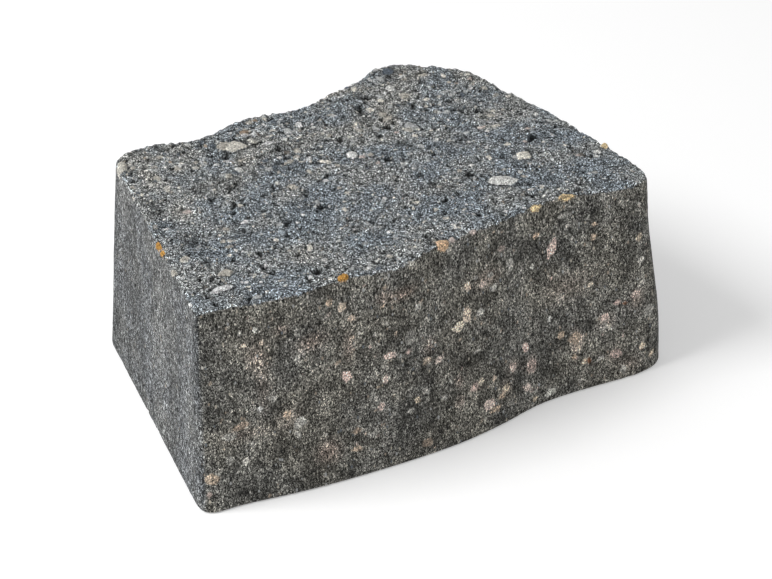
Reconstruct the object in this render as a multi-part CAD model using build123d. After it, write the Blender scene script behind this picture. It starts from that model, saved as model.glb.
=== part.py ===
from build123d import *
import os

# One dry-cast concrete wall block. It stands on its base bed, with the front face towards -Y.
# All sizes are in millimetres.

# Height from the base bed to the top bed
block_height = 125.0

# Plan of the top bed, between its sharp corners. The back is shorter than the front, so that
# blocks laid side by side can turn a curve, and the back right corner is cut off.
front_length = 285.5
front_skew = 5.0
left_depth = 171.5
left_taper = 21.5
right_depth = 166.0
right_taper = 29.5
corner_cut_width = 37.0
corner_cut_depth = 30.0

# Batter: how far each face stands out at the base bed, so that the mould lifts off
front_left_batter = 6.5
front_right_batter = 10.0
left_batter = 5.5
back_left_batter = 9.5
right_batter = 15.0
back_batter = 7.0

# Waves of the front face at the top bed, as steps out from the straight line of the face
front_top_rise = 2.6
front_top_left_crest = 7.2
front_top_saddle = 5.8
front_top_right_crest = 10.0
front_top_shoulder = 2.6
front_top_slope = 3.9
front_top_hollow = 9.2

# Waves of the front face at the base bed
front_base_rise = 4.0
front_base_crest = 9.2
front_base_brow = 6.8
front_base_step = 3.8
front_base_hollow = 0.2

# Waves of the back face and the swell of the right face, the same at both beds
back_shoulder = 5.0
back_slope = 9.6
back_right_hollow = 15.0
back_swell = 6.5
back_left_hollow = 11.0
right_swell = 2.4

# How far the rounding of each upright corner reaches along the faces beside it
front_left_round_top = 5.0
front_left_round_base = 12.0
front_right_round_top = 22.0
front_right_round_base = 30.0
corner_cut_round = 12.0
back_left_round = 14.0

# Worn arrises round the two beds
top_arris = 1.2
base_arris = 1.0

# Pores torn in the open top bed, below the plane that the next course rests on. They are six-sided,
# narrow from the mouth to the floor, and each is turned on from the last. Angles are in degrees.
wide_pore_mouth = 7.5
wide_pore_depth = 2.0
pore_mouth = 5.0
pore_depth = 1.6
pore_slope = 40
pore_turn = 37

# Where each step of a wave stands, as a share of the face's length between its roundings,
# counted anticlockwise in plan
front_top_wave = [
    (0.08, front_top_rise),
    (0.19, front_top_left_crest),
    (0.30, front_top_saddle),
    (0.41, front_top_right_crest),
    (0.505, front_top_shoulder),
    (0.69, -front_top_slope),
    (0.855, -front_top_hollow),
]
front_base_wave = [
    (0.13, front_base_rise),
    (0.37, front_base_crest),
    (0.607, front_base_brow),
    (0.666, front_base_step),
    (0.735, -front_base_hollow),
]
right_wave = [(0.45, right_swell)]
back_wave = [
    (0.08, -back_shoulder),
    (0.21, -back_slope),
    (0.39, -back_right_hollow),
    (0.60, -back_swell),
    (0.75, -back_left_hollow),
]

# Where the pores open, as shares of the way across the top bed from its left side and back from its front
wide_pores = [
    (0.380, 0.783), (0.522, 0.747), (0.633, 0.895), (0.651, 0.746), (0.576, 0.551), (0.688, 0.973),
    (0.877, 0.697), (0.360, 0.376), (0.251, 0.043), (0.688, 0.329), (0.900, 0.445),
]
pores = [
    (0.120, 0.831), (0.365, 0.960), (0.474, 0.878), (0.275, 0.748), (0.189, 0.931), (0.421, 0.653),
    (0.507, 0.605), (0.266, 0.531), (0.749, 0.877), (0.652, 0.598), (0.833, 0.751), (0.795, 0.889),
    (0.758, 0.549), (0.048, 0.498), (0.213, 0.508), (0.204, 0.432), (0.177, 0.362), (0.310, 0.436),
    (0.384, 0.264), (0.251, 0.272), (0.121, 0.222), (0.269, 0.172), (0.041, 0.177), (0.377, 0.199),
    (0.389, 0.039), (0.488, 0.060), (0.166, 0.139), (0.671, 0.502), (0.545, 0.409), (0.598, 0.402),
    (0.789, 0.381), (0.868, 0.343), (0.943, 0.234), (0.768, 0.184), (0.708, 0.143), (0.617, 0.098),
    (0.839, 0.074), (0.778, 0.112), (0.920, 0.096), (0.565, 0.153), (0.626, 0.241), (0.063, 0.656),
    (0.138, 0.667), (0.844, 1.057), (0.936, 0.961),
]


def face_line(start, end, outward, wave):
    """The plan line of one face, through the steps of its wave and in line with its chord at both ends."""
    if not wave:
        return Line(start, end)
    chord = end - start
    along = chord.normalized()
    stops = [start + chord * share + outward * step for share, step in wave]
    return Spline(start, *stops, end, tangents=(along, along), tangent_scalars=(1, 1))


def outline(z, corners, rounds, front_wave):
    """The closed plan outline at height z, with its faces waved and its corners rounded."""
    count = len(corners)
    along = [(corners[(i + 1) % count] - corners[i]).normalized() for i in range(count)]
    leaves = [corners[i] + along[i] * rounds[i] for i in range(count)]
    arrives = [corners[i] - along[i - 1] * rounds[i] for i in range(count)]
    outwards = [Vector(0, -1), Vector(1, 0), Vector(1, 1), Vector(0, 1), Vector(-1, 0)]
    waves = [front_wave, right_wave, [], back_wave, []]
    edges = []
    for i in range(count):
        edges.append(Bezier(arrives[i], corners[i], leaves[i]))
        edges.append(face_line(leaves[i], arrives[(i + 1) % count], outwards[i], waves[i]))
    return Pos(0, 0, z) * make_face(edges)


def drawn_in(corners, inset):
    """The sharp corners of a plan, each moved in from its faces by the inset."""
    pulls = [Vector(1, 1), Vector(-1, 1), Vector(-1, 0), Vector(0, -1), Vector(1, -1)]
    return [corner + pull * inset for corner, pull in zip(corners, pulls)]


def bed_point(corners, across, back):
    """A point of the top bed, by its shares of the way across and back between four of the bed's corners."""
    front_left, front_right, back_right, _, back_left = corners
    front = front_left + (front_right - front_left) * across
    rear = back_left + (back_right - back_left) * across
    return front + (rear - front) * back


def pore_plugs(corners, places, mouth, depth):
    """The plugs that are taken out of the top bed, one for each pore, with their mouths in the bed's plane."""
    plugs = []
    for i, (across, back) in enumerate(places):
        point = bed_point(corners, across, back)
        plug = extrude(RegularPolygon(mouth / 2, 6, rotation=i * pore_turn), depth, taper=pore_slope)
        plugs.append(Pos(point.X, point.Y, block_height) * Rot(X=180) * plug)
    return plugs


def wall_block():
    """The whole block: two beds joined by battered faces, centred on its base."""
    half = front_length / 2
    cut_start = Vector(half - right_taper, right_depth)
    top_corners = [
        Vector(-half, -front_skew),
        Vector(half, 0),
        cut_start,
        cut_start + Vector(-corner_cut_width, corner_cut_depth),
        Vector(left_taper - half, left_depth - front_skew),
    ]
    batters = [
        Vector(-left_batter, -front_left_batter),
        Vector(right_batter, -front_right_batter),
        Vector(right_batter, 0),
        Vector(0, back_batter),
        Vector(-back_left_batter, back_batter),
    ]
    base_corners = [corner + batter for corner, batter in zip(top_corners, batters)]
    back_rounds = [corner_cut_round, corner_cut_round, back_left_round]
    top_rounds = [front_left_round_top, front_right_round_top] + back_rounds
    base_rounds = [front_left_round_base, front_right_round_base] + back_rounds
    sections = [
        outline(0, drawn_in(base_corners, base_arris), base_rounds, front_base_wave),
        outline(base_arris, base_corners, base_rounds, front_base_wave),
        outline(block_height - top_arris, top_corners, top_rounds, front_top_wave),
        outline(block_height, drawn_in(top_corners, top_arris), top_rounds, front_top_wave),
    ]
    plugs = pore_plugs(top_corners, wide_pores, wide_pore_mouth, wide_pore_depth)
    plugs += pore_plugs(top_corners, pores, pore_mouth, pore_depth)
    block = loft(sections, ruled=True) - plugs
    middle = block.bounding_box().center()
    return Pos(-middle.X, -middle.Y, 0) * block


os.makedirs("parts", exist_ok=True)
block = wall_block()
print("volume mm3", round(block.volume), "box", block.bounding_box().size)
export_step(block, "parts/wall_block.step")
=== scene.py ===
import math
import random
import bpy
import numpy as np
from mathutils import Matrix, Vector, kdtree, noise
from mathutils.bvhtree import BVHTree
from mathutils.geometry import delaunay_2d_cdt


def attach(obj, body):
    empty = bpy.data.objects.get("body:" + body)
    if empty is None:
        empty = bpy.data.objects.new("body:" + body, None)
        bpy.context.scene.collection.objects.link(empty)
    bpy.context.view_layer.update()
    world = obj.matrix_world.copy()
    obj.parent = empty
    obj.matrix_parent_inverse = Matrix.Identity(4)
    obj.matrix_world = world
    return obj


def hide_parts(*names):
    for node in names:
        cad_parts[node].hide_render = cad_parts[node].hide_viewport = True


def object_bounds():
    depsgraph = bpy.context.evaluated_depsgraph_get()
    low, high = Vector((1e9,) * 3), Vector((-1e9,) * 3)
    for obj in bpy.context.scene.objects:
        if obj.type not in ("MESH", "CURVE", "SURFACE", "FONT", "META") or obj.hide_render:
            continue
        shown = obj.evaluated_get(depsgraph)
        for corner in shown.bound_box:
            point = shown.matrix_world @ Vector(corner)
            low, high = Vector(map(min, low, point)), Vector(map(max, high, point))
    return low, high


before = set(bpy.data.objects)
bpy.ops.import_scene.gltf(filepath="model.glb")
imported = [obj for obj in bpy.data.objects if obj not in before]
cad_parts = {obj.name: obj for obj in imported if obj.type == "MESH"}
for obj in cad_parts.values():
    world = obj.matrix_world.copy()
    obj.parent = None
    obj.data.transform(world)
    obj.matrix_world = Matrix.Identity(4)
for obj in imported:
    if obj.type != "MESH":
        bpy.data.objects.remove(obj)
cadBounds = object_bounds()
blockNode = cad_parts["wall_block"]
mm = 0.001
print("frame loaded, CAD box", [round(v / mm, 1) for v in cadBounds[1] - cadBounds[0]], "mm")

# The skin is worked out in millimetres and stored in metres
skin = {
    "columnStep": 1.5,  # along the faces
    "rowStep": 1.6,  # up the faces
    "firstRow": 1.0,  # height of the first row above the base
    "fineBand": 5.0,  # closer rows just under the top arris
    "fineStep": 0.62,
    "hem": 0.02,  # how far inside the two beds the end rows are cast
    "bedStep": 1.15,  # between points of the open top bed
    "baseStep": 4.0,
    "stray": 0.28,  # how far bed points leave their grid, as a share of the step
    "rimGap": 0.8,  # room left inside the rim of a bed, as a share of the step
    "ringRays": 3601,
    "rayStart": 400.0,  # from the upright axis, well outside the block
    "rayLift": 5.0,  # above the top bed
    "weld": 1e-6,
    "seed": 41,
    "stoneSeed": 57,
}
blockHeight = (cadBounds[1].z - cadBounds[0].z) / mm
cadShape = BVHTree.FromPolygons(
    [v.co / mm for v in blockNode.data.vertices],
    [p.vertices[:] for p in blockNode.data.polygons],
)


def faceAt(angle, z):
    # where a level ray towards the upright axis meets the outside of the block
    heading = Vector((math.cos(angle), math.sin(angle), 0))
    return cadShape.ray_cast(heading * skin["rayStart"] + Vector((0, 0, z)), -heading)[0]


def bedDrop(x, y):
    # how far the CAD surface lies below the plane of the top bed
    hit = cadShape.ray_cast(Vector((x, y, blockHeight + skin["rayLift"])), Vector((0, 0, -1)))[0]
    return blockHeight - hit.z if hit else 0.0


def castWalls():
    # rays from outside find the faces, first at mid height to space the columns evenly
    dense = np.linspace(-math.pi, math.pi, skin["ringRays"])
    ring = np.array([faceAt(a, blockHeight / 2) for a in dense])
    run = np.concatenate([[0], np.cumsum(np.linalg.norm(np.diff(ring, axis=0), axis=1))])
    columns = round(run[-1] / skin["columnStep"])
    stops = np.arange(columns) * run[-1] / columns
    angles = np.interp(stops, run, dense)
    fineFrom = blockHeight - skin["fineBand"]
    plainRows = round((fineFrom - skin["firstRow"]) / skin["rowStep"])
    fineRows = round(skin["fineBand"] / skin["fineStep"])
    plain = np.linspace(skin["firstRow"], fineFrom, plainRows)
    fine = np.linspace(fineFrom, blockHeight - skin["hem"], fineRows)[1:]
    walls = np.array([[faceAt(a, z) for a in angles] for z in [skin["hem"], *plain, *fine]])
    walls[0, :, 2] = 0
    walls[-1, :, 2] = blockHeight
    return walls, stops


def fillBed(rim, step, seed):
    # a scatter of points inside a rim, joined to it by triangles
    draw = random.Random(seed)
    stray = skin["stray"] * step
    rimAngle = np.arctan2(rim[:, 1], rim[:, 0])
    order = np.argsort(rimAngle)
    rimReach = np.linalg.norm(rim[:, :2], axis=1)
    points = []
    low, high = rim.min(axis=0), rim.max(axis=0)
    rowRise = step * math.sqrt(0.75)  # rows of even triangles
    for row, y in enumerate(np.arange(low[1], high[1], rowRise)):
        for x in np.arange(low[0] + (row % 2) * step / 2, high[0], step):
            points.append((x + draw.uniform(-stray, stray), y + draw.uniform(-stray, stray)))
    points = np.array(points)
    angle = np.arctan2(points[:, 1], points[:, 0])
    reach = np.interp(angle, rimAngle[order], rimReach[order], period=2 * math.pi)
    points = points[np.linalg.norm(points, axis=1) < reach - step * skin["rimGap"]]
    count = len(rim)
    loop = [(i, (i + 1) % count) for i in range(count)]
    flat = [Vector(p[:2]) for p in rim] + [Vector(p) for p in points]
    faces = delaunay_2d_cdt(flat, loop, [], 1, skin["weld"])[2]
    return points, np.array(faces)


walls, wallRun = castWalls()
rowCount, columnCount = walls.shape[:2]
wallCount = rowCount * columnCount
bedPoints, bedFaces = fillBed(walls[-1], skin["bedStep"], skin["seed"])
basePoints, baseFaces = fillBed(walls[0], skin["baseStep"], skin["seed"] + 1)
bedStart = wallCount
baseStart = bedStart + len(bedPoints)
vertexCount = baseStart + len(basePoints)
place = np.zeros((vertexCount, 3))
place[:wallCount] = walls.reshape(-1, 3)
place[bedStart:baseStart, :2] = bedPoints
place[bedStart:baseStart, 2] = blockHeight
place[baseStart:, :2] = basePoints
castPore = np.zeros(vertexCount)  # depth of the pores that the CAD bed has
castPore[bedStart:baseStart] = [bedDrop(x, y) for x, y in bedPoints]
print("skin laid out,", rowCount, "rows,", columnCount, "columns,", vertexCount, "points")


def share(values, low, high):
    # 0 at low, 1 at high, eased between
    t = np.clip((values - low) / (high - low), 0, 1)
    return t * t * (3 - 2 * t)


def searchTree(points):
    tree = kdtree.KDTree(len(points))
    for i, spot in enumerate(points):
        tree.insert(spot, i)
    tree.balance()
    return tree


# Which way each point looks, how much it belongs to the open bed, and how far it is from the top arris
sides = {
    "arrisRows": 4,  # rows at the arris that take the lean of the face below them
    "faceRow": 8,  # the row, counted down from the arris, that stands for its face
    "bedReach": 1.3,  # how far the bed's finish runs over the arris
    "arrisTip": 0.6,  # how far the points at the arris turn upwards
    "facing": (0.55, 0.8),  # how squarely a point has to look to the front or the left
    "farBand": (-25, 65),  # y from which the bed is rougher, and where it is roughest
    "wellOn": 0.9,  # shares from which a point counts as on a face, or off it
    "wellOff": 0.1,
    "edgeWander": 0.7,  # the line between the finishes of bed and faces
    "edgeDrop": 0.6,
}
around = np.roll(walls, -1, axis=1) - np.roll(walls, 1, axis=1)
upward = np.gradient(walls, axis=0)
upward[:1] = upward[1]
upward[-sides["arrisRows"]:] = upward[-sides["arrisRows"] - 1]
wallOut = np.cross(around, upward)
wallOut /= np.linalg.norm(wallOut, axis=2, keepdims=True)
out = np.zeros((vertexCount, 3))
out[:wallCount] = wallOut.reshape(-1, 3)
out[bedStart:baseStart, 2] = 1
out[baseStart:, 2] = -1
rimTree = searchTree(walls[-1])
faceTree = searchTree(place)
nearRim = [rimTree.find(p)[1:] for p in place[bedStart:baseStart]]
arrisGap = np.zeros(vertexCount)
arrisGap[:wallCount] = blockHeight - place[:wallCount, 2]
arrisGap[bedStart:baseStart] = [gap for _, gap in nearRim]
arrisGap[baseStart:] = blockHeight
faceOut = out.copy()  # the look of the face that a bed point's nearest arris belongs to
faceOut[bedStart:baseStart] = wallOut[-sides["faceRow"], [index for index, _ in nearRim]]
bedShare = np.zeros(vertexCount)
bedShare[:wallCount] = np.clip(1 - arrisGap[:wallCount] / sides["bedReach"], 0, 1)
bedShare[bedStart:baseStart] = 1
tip = bedShare[:wallCount, None] * sides["arrisTip"]
out[:wallCount] = out[:wallCount] * (1 - tip) + np.array([0, 0, 1]) * tip
out /= np.linalg.norm(out, axis=1, keepdims=True)
frontSide = share(-faceOut[:, 1], *sides["facing"])
leftSide = share(-faceOut[:, 0], *sides["facing"])
frontShare = frontSide * (1 - bedShare)
leftShare = leftSide * (1 - bedShare)
farShare = share(place[:, 1], *sides["farBand"])

# Noises that shape the skin: size, how far drawn out upwards, and a shift that sets each apart
noises = {
    "bedSwell": (38, 1, 3.1),
    "bedLumps": (9, 1, 7.7),
    "bedCrumbs": (4.2, 1, 1.3),
    "bedGrain": (2.6, 1, 5.9),
    "bedPores": (3.2, 1, 11.5),
    "castPores": (2.0, 1, 4.7),
    "bedEdge": (4.0, 1, 1.9),
    "faceSwell": (32, 1, 2.2),
    "dragLines": (2.6, 14, 4.4),
    "dragBands": (6.5, 9, 8.8),
    "facePeel": (2.4, 1.5, 6.6),
    "facePores": (3.4, 1.2, 13.3),
    "arrisChips": (7.5, 1, 9.1),
    "arrisCrumbs": (2.3, 1, 5.2),
    "base": (9, 1, 3.3),
}


def noisePlaces(name):
    size, rise, shift = noises[name]
    return (place / np.array([size, size, size * rise]) + shift).tolist()


def lumps(name):
    # smooth noise at every point of the skin
    return np.array([noise.noise(p) for p in noisePlaces(name)])


def cells(name):
    # distance to the nearest grain centre, in grain sizes
    return np.array([noise.voronoi(p)[0][0] for p in noisePlaces(name)])


# Relief of the two kinds of surface: an open bed struck off at the top, and faces drawn from a mould
relief = {
    "bedSwell": 0.35,
    "bedLumps": 0.5,
    "bedCrumbs": 0.6,  # beside the lumps
    "bedGrain": 0.9,
    "grainLevel": 0.42,  # what lies nearer to a grain's centre than this stands proud
    "nearRough": 0.6,  # roughness of the near part of the bed
    "farRough": 0.64,  # added in the far part
    "bedPores": 4.5,
    "porePoint": 0.38,  # the noise level from which a fine pore opens
    "farPores": 0.06,  # how much sooner it opens in the far part
    "poreLimit": 0.5,
    "castPoreStray": 0.3,  # unevenness of the pores that the CAD bed has
    "faceSwell": 0.25,
    "faceDrag": 0.14,  # upright drag lines
    "dragBands": 0.7,  # beside the lines
    "facePeel": 0.12,
    "facePores": 2.0,
    "facePorePoint": 0.48,
    "poreShadeGain": 4.5,  # painted shade of a pore for its depth
    # painted shade of the pores that the CAD bed has, for their depth
    "castPoreShadeGain": 0.75,
    "arrisChips": 3.4,
    "chipPoint": 0.1,  # the noise levels from which the arris is chipped and crumbled
    "arrisCrumbs": 2.5,
    "crumbPoint": -0.1,
    "arrisReach": 3.4,
    "crispShare": 0.13,  # chips left on the front and left arrises
    "corner": (195, 235),  # x less y where the front right corner begins and is full
    "belly": 1.8,  # swell of that corner low down, with its height and span as shares of the block's
    "bellyAt": 0.28,
    "bellySpan": 0.22,
    "waist": 0.8,  # and its draw-in above
    "waistAt": 0.78,
    "waistSpan": 0.16,
    "base": 0.2,
}
rough = relief["nearRough"] + relief["farRough"] * farShare
bedHeight = relief["bedSwell"] * lumps("bedSwell")
bedHeight += relief["bedLumps"] * rough * (lumps("bedLumps") + relief["bedCrumbs"] * lumps("bedCrumbs"))
bedHeight += relief["bedGrain"] * rough * (relief["grainLevel"] - cells("bedGrain"))
bedPore = lumps("bedPores") - relief["porePoint"] + relief["farPores"] * farShare
bedPore = np.clip(bedPore, 0, relief["poreLimit"])
bedHeight -= relief["bedPores"] * bedPore
bedHeight -= castPore * (1 + relief["castPoreStray"] * lumps("castPores"))
faceHeight = relief["faceSwell"] * lumps("faceSwell")
faceHeight += relief["faceDrag"] * (lumps("dragLines") + relief["dragBands"] * lumps("dragBands"))
faceHeight += relief["facePeel"] * lumps("facePeel")
facePore = np.clip(lumps("facePores") - relief["facePorePoint"], 0, relief["poreLimit"])
faceHeight -= relief["facePores"] * facePore
cornerShare = share(place[:, 0] - place[:, 1], *relief["corner"])
level = place[:, 2] / blockHeight
belly = np.exp(-((level - relief["bellyAt"]) / relief["bellySpan"]) ** 2)
faceHeight += cornerShare * relief["belly"] * belly
waist = np.exp(-((level - relief["waistAt"]) / relief["waistSpan"]) ** 2)
faceHeight -= cornerShare * relief["waist"] * waist
height = bedHeight * bedShare + faceHeight * (1 - bedShare)
chipReach = np.clip(1 - arrisGap / relief["arrisReach"], 0, 1)
chips = relief["arrisChips"] * np.clip(lumps("arrisChips") - relief["chipPoint"], 0, 1)
chips += relief["arrisCrumbs"] * np.clip(lumps("arrisCrumbs") - relief["crumbPoint"], 0, 1)
crisp = 1 - (1 - relief["crispShare"]) * np.clip(frontSide + leftSide, 0, 1)
height -= chips * chipReach * crisp
# painted shade in the pores, from their depth
finePoreShade = bedPore * bedShare * relief["poreShadeGain"] + facePore * (1 - bedShare) * relief["poreShadeGain"]
paintedPoreShade = np.clip(finePoreShade + castPore * relief["castPoreShadeGain"], 0, 1)
print("relief worked out, from", round(height.min(), 2), "to", round(height.max(), 2), "mm")

# Colours of the stones that stand in the open bed
bedTints = {
    "chalk": (0.84, 0.84, 0.81),
    "cream": (0.81, 0.78, 0.70),
    "sand": (0.50, 0.475, 0.42),
    "tan": (0.38, 0.29, 0.21),
    "amber": (0.60, 0.32, 0.08),
    "honey": (0.82, 0.64, 0.38),
    "peach": (0.78, 0.55, 0.36),
    "rose": (0.60, 0.52, 0.48),
    "ash": (0.53, 0.545, 0.54),
    "slate": (0.12, 0.145, 0.175),
    "umber": (0.13, 0.11, 0.09),
}
# and of those that show through the cement of the faces
faceTints = {
    "chalk": (0.85, 0.82, 0.75),
    "cream": (0.85, 0.73, 0.60),
    "sand": (0.64, 0.52, 0.40),
    "tan": (0.42, 0.34, 0.27),
    "honey": (0.76, 0.66, 0.52),
    "rose": (0.84, 0.67, 0.60),
    "ash": (0.52, 0.51, 0.47),
    "rust": (0.20, 0.10, 0.06),
    "umber": (0.06, 0.055, 0.05),
}

# Stones that show on the open bed: x, y, length, width, turn in degrees, stand, tint
bedStones = [
    (-57, 53, 15, 10.5, -28, 1.1, "cream"), (-63, 57, 9, 8, -10, 1.0, "sand"),
    (-123.5, 61.5, 14, 6, 62, 1.2, "cream"), (-66, 28, 5, 4.5, 0, 0.7, "chalk"),
    (-39, 47.5, 6, 4, 0, 0.9, "chalk"), (-41, 61, 6, 4, 0, 0.8, "chalk"),
    (-46, 65.5, 6, 6, 30, 0.9, "tan"), (-22.5, 56, 5, 8, -10, 0.8, "ash"),
    (-13.5, 59.5, 4, 7, 0, 0.8, "chalk"), (-19, 13.5, 9, 4, -40, 0.8, "cream"),
    (-53, 4.5, 3, 4.5, 0, 0.7, "ash"), (-2, 13.5, 6, 8, 20, 0.9, "chalk"),
    (-110, -1.5, 5, 5, 0, 0.3, "rose"), (-103.5, 6.5, 2.5, 2, 0, 0.5, "chalk"),
    (-15, 6.5, 3, 5, 0, 0.6, "sand"), (-47.5, -2.5, 8, 4, -60, 0.7, "sand"),
    (-32, 7.5, 3, 6, 0, 0.6, "sand"), (-27.5, 33, 4, 6, 0, 0.6, "sand"),
    (-36.5, 23, 4, 4, 0, 0.5, "sand"), (-125, 28, 2.5, 5, 0, 0.6, "cream"),
    (-130, 27.5, 2, 4, 0, 0.6, "cream"), (-126.5, 37, 3, 6, 10, 0.5, "sand"),
    (-110.5, 40.5, 4, 6, 0, 0.5, "sand"), (-96.5, 45.5, 5, 5, 0, 0.5, "sand"),
    (-80.5, 44, 3, 4, 0, 0.5, "sand"), (-61, 37, 5, 4, 0, 0.5, "sand"), (-75, 39, 4, 4, 0, 0.5, "ash"),
    (-100, 62, 4, 5, 0, 0.6, "sand"), (-34, 76, 3, 3, 0, 0.7, "tan"), (-3.5, 40.5, 4, 4, 0, 0.6, "sand"),
    (55, 75, 7, 7, 0, 1.1, "chalk"), (2, 8.5, 4, 4, 0, 0.7, "rose"), (43.5, 26.5, 7, 11, 0, 0.9, "ash"),
    (40, 16, 3.5, 3.5, 0, 0.7, "cream"), (32.5, 24.5, 4, 4, 0, 0.7, "rose"),
    (31.5, 56, 5, 6, 0, 0.8, "cream"), (35.5, 48, 7, 5, 20, 0.7, "sand"),
    (35.5, 42, 6, 5, 0, 0.7, "sand"), (24, 34.5, 5, 4, 0, 0.7, "ash"), (42.5, 63, 5, 5, 0, 0.8, "cream"),
    (58, 61.5, 6, 4, -30, 0.8, "sand"), (67.5, 52, 5, 4, 0, 0.7, "cream"), (83, 56, 7, 3, 0, 0.6, "ash"),
    (98.5, 52, 3, 2.5, 0, 0.8, "chalk"), (101, 56, 4, 4, 0, 0.9, "sand"),
    (103.5, 63, 3, 4, 0, 0.8, "rose"), (67, 34.5, 4, 3, 0, 0.6, "ash"),
    (91.5, 16.5, 6, 5, 0, 0.6, "sand"), (87.5, 4, 6, 4, 15, 0.8, "cream"),
    (79, 6.5, 6, 3, 0, 0.6, "rose"), (68.5, 5, 5, 3, 0, 0.6, "ash"),
    (115.5, 5.5, 3.5, 4, 0, 0.8, "chalk"), (118, -4.5, 3, 4, 0, 0.7, "ash"),
    (55, 88, 5, 7, 0, 0.8, "ash"), (35.5, 84.5, 7, 4, 60, 0.8, "cream"), (81, 81.5, 7, 4, 0, 0.6, "sand"),
    (64.5, 95, 8, 9, 0, 0.6, "slate"), (33, 91, 3, 6, -20, 0.6, "slate"), (21, 21, 3, 3, 0, 0.6, "cream"),
    (37.5, 4, 4, 6, 0, 0.6, "ash"), (7.5, 8.5, 4, 5, 0, 0.6, "sand"), (7, -1.5, 3, 3, 0, 0.6, "rose"),
    (55, 2, 3, 2.5, 0, 0.6, "cream"), (-7.5, 52.5, 3, 3, 0, 0.6, "chalk"), (14, 43, 3, 4, 0, 0.6, "sand"),
    (5.5, 21.5, 2, 3, 0, 0.5, "chalk"), (-136.5, -25, 3.5, 8, -10, 1.3, "amber"),
    (-138, -33, 4, 5, 0, 1.1, "amber"), (-86.5, -25, 5.5, 3, 10, 0.7, "chalk"),
    (-116, -66.5, 8, 7, -20, 0.8, "sand"), (-124.5, -79.5, 15, 5.4, 3, 1.0, "chalk"),
    (-110.5, -79.5, 3, 2.5, 0, 0.6, "chalk"), (-65.5, -79, 4, 3.5, 0, 0.6, "chalk"),
    (-130, -44, 7, 5, 45, 0.7, "sand"), (-140, -53, 4, 6, 0, 0.8, "sand"),
    (-104.5, -44, 5, 3.5, 0, 0.6, "sand"), (-33, -38, 4, 4, 0, 0.7, "cream"),
    (-34, -42.5, 2, 2, 0, 0.5, "chalk"), (-24, -23.5, 3.5, 4, 0, 0.7, "cream"),
    (-8.5, -38, 3, 3, 0, 0.6, "chalk"), (-28.5, -5.5, 4, 4, 0, 0.7, "chalk"),
    (-81, -7.5, 4, 3, 0, 0.6, "cream"), (-43, -25, 2.5, 6, -15, 0.8, "ash"),
    (-66.5, -64, 3, 6, -20, 0.7, "cream"), (-22.5, -70.5, 4, 3, 0, 0.6, "chalk"),
    (-22.5, -78, 4, 3, 0, 0.5, "ash"), (-33.5, -92, 3.5, 4, 0, 0.7, "cream"),
    (-15.5, -92, 4, 2, -30, 0.6, "ash"), (-111, -94, 7, 3, 0, 0.7, "ash"),
    (-120.5, -72, 2, 4, 0, 0.5, "sand"), (-144, -84.5, 2, 4, 0, 0.7, "chalk"),
    (-79, -90, 2.5, 2.5, 0, 0.5, "chalk"), (-71.5, -36.5, 3, 3, 0, 0.5, "ash"),
    (-105, -37.5, 4, 4, 0, 0.4, "sand"), (-98.5, -27, 4, 6, 0, 0.4, "sand"),
    (-25, -16, 3, 3, 0, 0.5, "sand"), (-62, -74, 2, 4, 0, 0.5, "ash"),
    (59, -51.5, 18, 10.5, -28, 0.8, "chalk"), (84.5, -33, 9.5, 10, 0, 0.9, "cream"),
    (82.5, -17.5, 5, 3.5, 0, 0.7, "cream"), (65.5, -26, 3, 6, -20, 0.7, "cream"),
    (37.5, -37.5, 5, 2.4, -10, 0.6, "chalk"), (43, -31, 3, 4, -30, 0.6, "sand"),
    (123.5, -49, 6, 6, 0, 0.7, "chalk"), (111.5, -47.5, 3, 3, 0, 0.6, "rose"),
    (68, -67, 4, 3, 0, 0.6, "chalk"), (72, -53, 3, 3, 0, 0.5, "sand"), (106, -68, 2, 3, 0, 0.5, "chalk"),
    (43.5, -81.5, 3, 2.5, 0, 0.6, "chalk"), (11, -61.5, 3, 3, 0, 0.5, "cream"),
    (52.5, -28.5, 4, 3, 0, 0.6, "chalk"), (102.5, -7, 4, 3, 0, 0.6, "rose"),
    (93, -19.5, 3, 3, 0, 0.5, "rose"), (93.5, -37, 4, 3, 0, 0.5, "ash"),
    (5, -49.5, 4, 3, 0, 0.5, "cream"), (11.5, -72, 4, 3, 0, 0.5, "cream"),
    (11.5, -80, 3, 3, 0, 0.5, "chalk"), (33, -12.5, 3, 4, 0, 0.5, "ash"),
    (-64, -98, 8.5, 4.5, 8, 1.0, "amber"), (-2, -94, 10, 6.5, 8, 1.2, "peach"),
    (4, -93, 5, 5, -5, 0.9, "rose"), (-26, -102, 6, 3, -10, 0.9, "cream"),
    (18, -91, 5, 4, 0, 0.9, "rose"), (61, -84, 8, 3.6, 4, 0.9, "honey"),
    (81.5, -82, 7.5, 3.6, -12, 0.9, "honey"), (131, -45, 4, 6, -10, 1.2, "honey"),
]
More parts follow.
